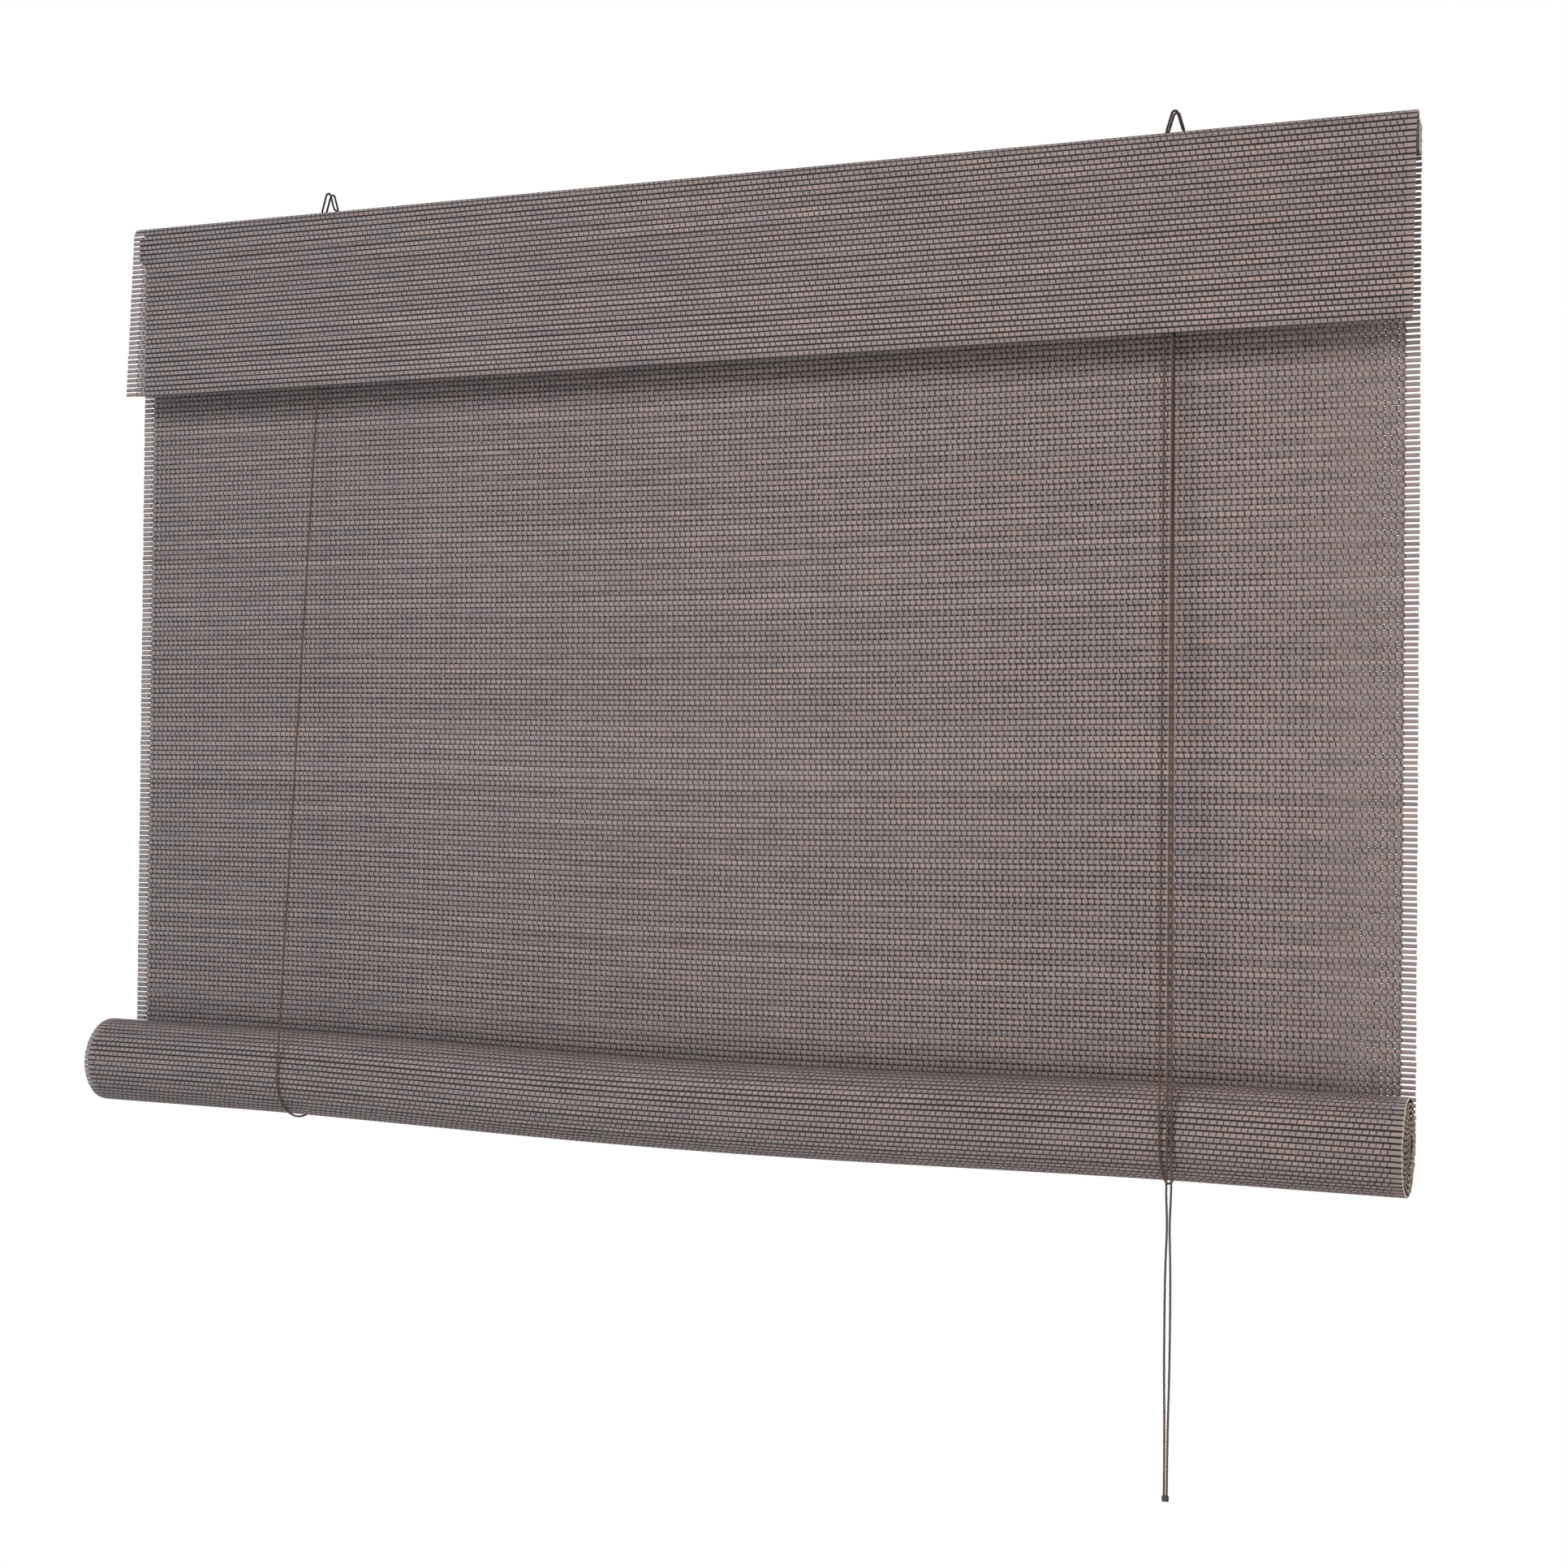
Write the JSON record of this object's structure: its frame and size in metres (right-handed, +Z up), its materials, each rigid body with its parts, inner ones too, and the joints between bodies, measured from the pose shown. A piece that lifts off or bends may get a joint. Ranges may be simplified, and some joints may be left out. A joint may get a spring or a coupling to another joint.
{
  "type": "bamboo roll-up blind",
  "caption": "Roll-up window blind of woven bamboo slats with a folded valance, wooden headrail, wire hangers and lifting cords.",
  "frame": {"origin": "midway along the mat, on the line where the two wire hangers bear on their wall hooks", "axes": "+X along the width to the pull-cord side, +Y from the room towards the wall, +Z up"},
  "size_m": [1.2023, 0.0885, 1.0932],
  "materials": {
    "bamboo": "matte stained bamboo slats with brown warp threads",
    "headrail_wood": "matte grey-brown stain",
    "rod_wood": "plain dowel",
    "hanger_wire": "dark bronze coated wire",
    "zinc_steel": "zinc plated",
    "bracket_steel": "brown stove enamel",
    "pulley_plastic": "natural moulded",
    "cam_brass": "dull turned",
    "cord": "twisted brown cord",
    "crimp": "dark crimped sleeve"
  },
  "bodies": {
    "root": {"headrail_batten": "headrail_wood", "valance_mat": "bamboo", "hanging_mat": "bamboo", "left_hanger": "hanger_wire", "right_hanger": "hanger_wire", "mat_staples": "zinc_steel", "left_pulley_bracket": "bracket_steel", "left_pulley_axle": "zinc_steel", "lock_bracket": "bracket_steel", "lock_pulley_axle": "zinc_steel", "lock_cam_pin": "zinc_steel", "lock_anvil": "cam_brass", "lock_anvil_pin": "zinc_steel", "bracket_screws": "zinc_steel", "anchor_screws": "zinc_steel", "left_front_cord": "cord", "left_back_cord": "cord", "right_front_cord": "cord", "right_back_cord": "cord", "cross_cord": "cord", "lock_turn_cord": "cord", "upper_pull_cord_front": "cord", "upper_pull_cord_rear": "cord"},
    "carriage": {"left_sling_cord": "cord", "right_sling_cord": "cord", "lower_pull_cord_front": "cord", "lower_pull_cord_rear": "cord"},
    "roll": {"rolled_mat": "bamboo", "bottom_rod": "rod_wood"},
    "pull_end": {"pull_cord_end": "crimp"},
    "left_pulley": {"left_pulley": "pulley_plastic"},
    "lock_pulley": {"lock_pulley": "pulley_plastic"},
    "lock_cam": {"lock_cam": "cam_brass"}
  },
  "joints": [
    {"name": "roll_lift", "type": "slide", "parent": "root", "child": "carriage", "axis": [0, 0, 1], "range_m": [-0.08, 0.45], "deforming": ["hanging_mat", "left_front_cord", "right_front_cord", "left_back_cord", "right_back_cord", "upper_pull_cord_front", "upper_pull_cord_rear"]},
    {"name": "roll_spin", "type": "hinge", "parent": "carriage", "child": "roll", "pos_m": [0, -0.0294, -0.8105], "axis": [1, 0, 0], "range_deg": [-690, 130]},
    {"name": "pull_slide", "type": "slide", "parent": "carriage", "child": "pull_end", "axis": [0, 0, 1], "range_m": [-1.36, 0.245], "deforming": ["lower_pull_cord_front", "lower_pull_cord_rear"]},
    {"name": "left_pulley_spin", "type": "hinge", "parent": "root", "child": "left_pulley", "pos_m": [-0.388, 0, -0.0582], "axis": [0, 1, 0], "continuous": true},
    {"name": "lock_pulley_spin", "type": "hinge", "parent": "root", "child": "lock_pulley", "pos_m": [0.405, 0, -0.0582], "axis": [0, 1, 0], "continuous": true},
    {"name": "lock_cam_tilt", "type": "hinge", "parent": "root", "child": "lock_cam", "pos_m": [0.4133, 0, -0.0682], "axis": [0, 1, 0], "range_deg": [0, 40]}
  ],
  "couplings": [
    {"joint": "roll_spin", "follows": "roll_lift", "rad_per_m": -24.691},
    {"joint": "pull_slide", "follows": "roll_lift", "ratio": -3}
  ]
}
